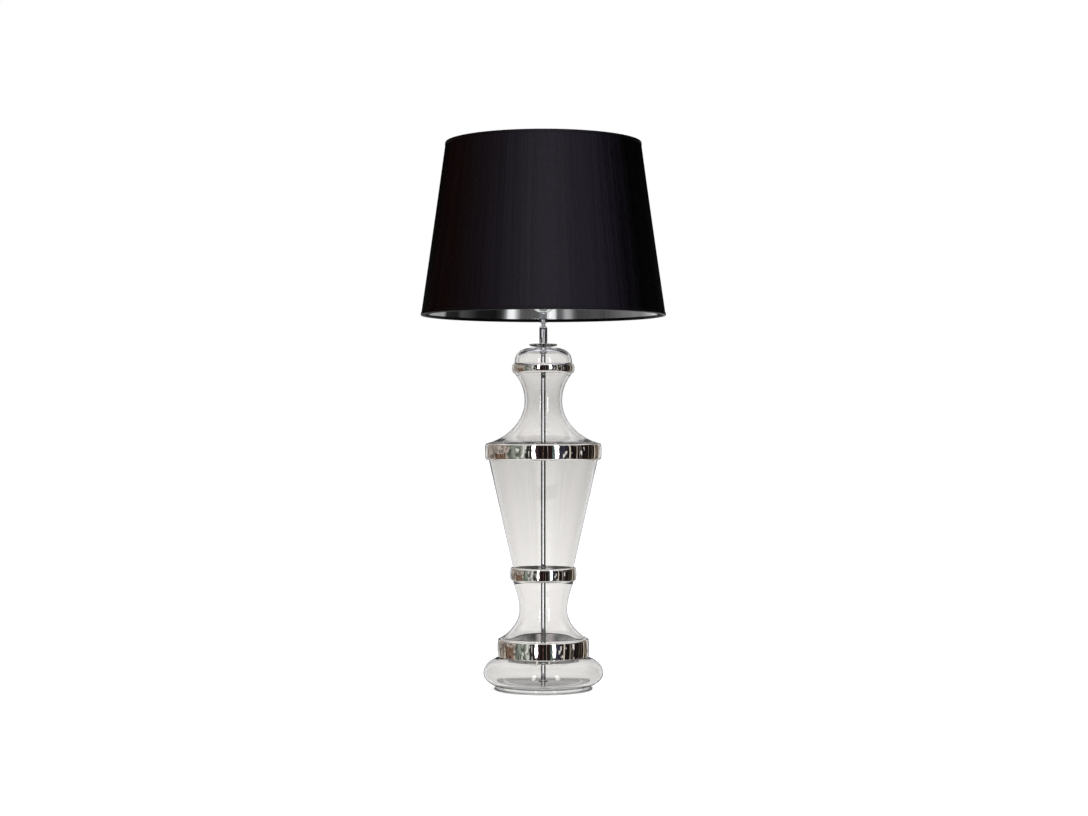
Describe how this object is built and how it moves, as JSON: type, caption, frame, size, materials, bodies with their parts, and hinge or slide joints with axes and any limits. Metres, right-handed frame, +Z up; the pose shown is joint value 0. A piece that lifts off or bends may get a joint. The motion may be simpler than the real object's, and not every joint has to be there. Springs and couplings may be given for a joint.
{
  "type": "table lamp",
  "caption": "Tall table lamp: clear blown-glass baluster base with mirror-polished platinum bands, chrome stem and a tapered black fabric shade with silver lining.",
  "frame": {"origin": "centre of the foot's underside, on the table", "axes": "+Z up along the stem, +X to the right and +Y to the back of the lamp, where the cord outlet is"},
  "size_m": [0.4, 0.4, 0.8905],
  "materials": {
    "clear_glass": "polished clear",
    "platinum": "mirror-polished platinum-coloured band",
    "black_rubber": "matt",
    "grey_felt": "felt",
    "black_nylon": "satin",
    "zinc_steel": "zinc plated",
    "clear_silicone": "translucent",
    "chrome": "polished",
    "white_ceramic": "plain",
    "brass": "plain",
    "white_plastic": "plain",
    "brown_insulation": "plain",
    "blue_insulation": "plain",
    "white_wire": "plastic coated",
    "black_satin": "black satin weave",
    "silver_lining": "metallised silver foil",
    "bulb_plastic": "plain",
    "opal_plastic": "opal"
  },
  "bodies": {
    "base": {"glass_foot": "clear_glass", "glass_lower_neck": "clear_glass", "glass_cone": "clear_glass", "glass_shoulder": "clear_glass", "glass_upper_neck": "clear_glass", "glass_dome": "clear_glass", "band_base": "platinum", "band_waist": "platinum", "band_shoulder": "platinum", "band_collar": "platinum", "foot_pad_ring": "clear_silicone", "base_cover_disc": "grey_felt", "cord_grommet": "black_nylon", "lower_rubber_washer": "black_rubber", "lower_steel_washer": "zinc_steel", "lower_lock_nut": "zinc_steel", "floor_washer": "clear_silicone", "floor_collar": "chrome", "central_pipe": "chrome", "mouth_bush": "clear_silicone", "mouth_gasket": "clear_silicone", "lower_sleeve": "chrome", "waist_coupling": "chrome", "upper_sleeve": "chrome", "holder_cap": "chrome", "holder_fixing_nut": "zinc_steel", "holder_insert": "white_ceramic", "terminal_screw_left": "brass", "terminal_screw_right": "brass", "holder_barrel": "white_plastic", "holder_screw_shell": "brass", "holder_contact_spring": "brass", "wire_live": "brown_insulation", "wire_neutral": "blue_insulation", "shade_ring_lower": "white_plastic"},
    "shade": {"shade_carrier": "white_wire", "shade_fabric": "black_satin", "shade_lining": "silver_lining", "shade_hem_low": "black_satin", "shade_hoop_low": "white_wire", "shade_hem_high": "black_satin", "shade_hoop_high": "white_wire", "shade_arm_back": "white_wire", "shade_arm_left": "white_wire", "shade_arm_right": "white_wire"},
    "shade_ring": {"shade_ring_upper": "white_plastic"},
    "bulb": {"bulb_contact": "zinc_steel", "bulb_insulator": "black_nylon", "bulb_cap": "zinc_steel", "bulb_housing": "bulb_plastic", "bulb_led_board": "bulb_plastic", "bulb_diffuser": "opal_plastic"}
  },
  "joints": [
    {"name": "shade_turn", "type": "hinge", "parent": "base", "child": "shade", "pos_m": [0, 0, 0.65], "axis": [0, 0, 1], "continuous": true},
    {"name": "shade_ring_turn", "type": "hinge", "parent": "base", "child": "shade_ring", "pos_m": [0, 0, 0.654], "axis": [0, 0, 1], "continuous": true},
    {"name": "bulb_turn", "type": "hinge", "parent": "base", "child": "bulb", "pos_m": [0, 0, 0.65], "axis": [0, 0, 1], "continuous": true}
  ]
}
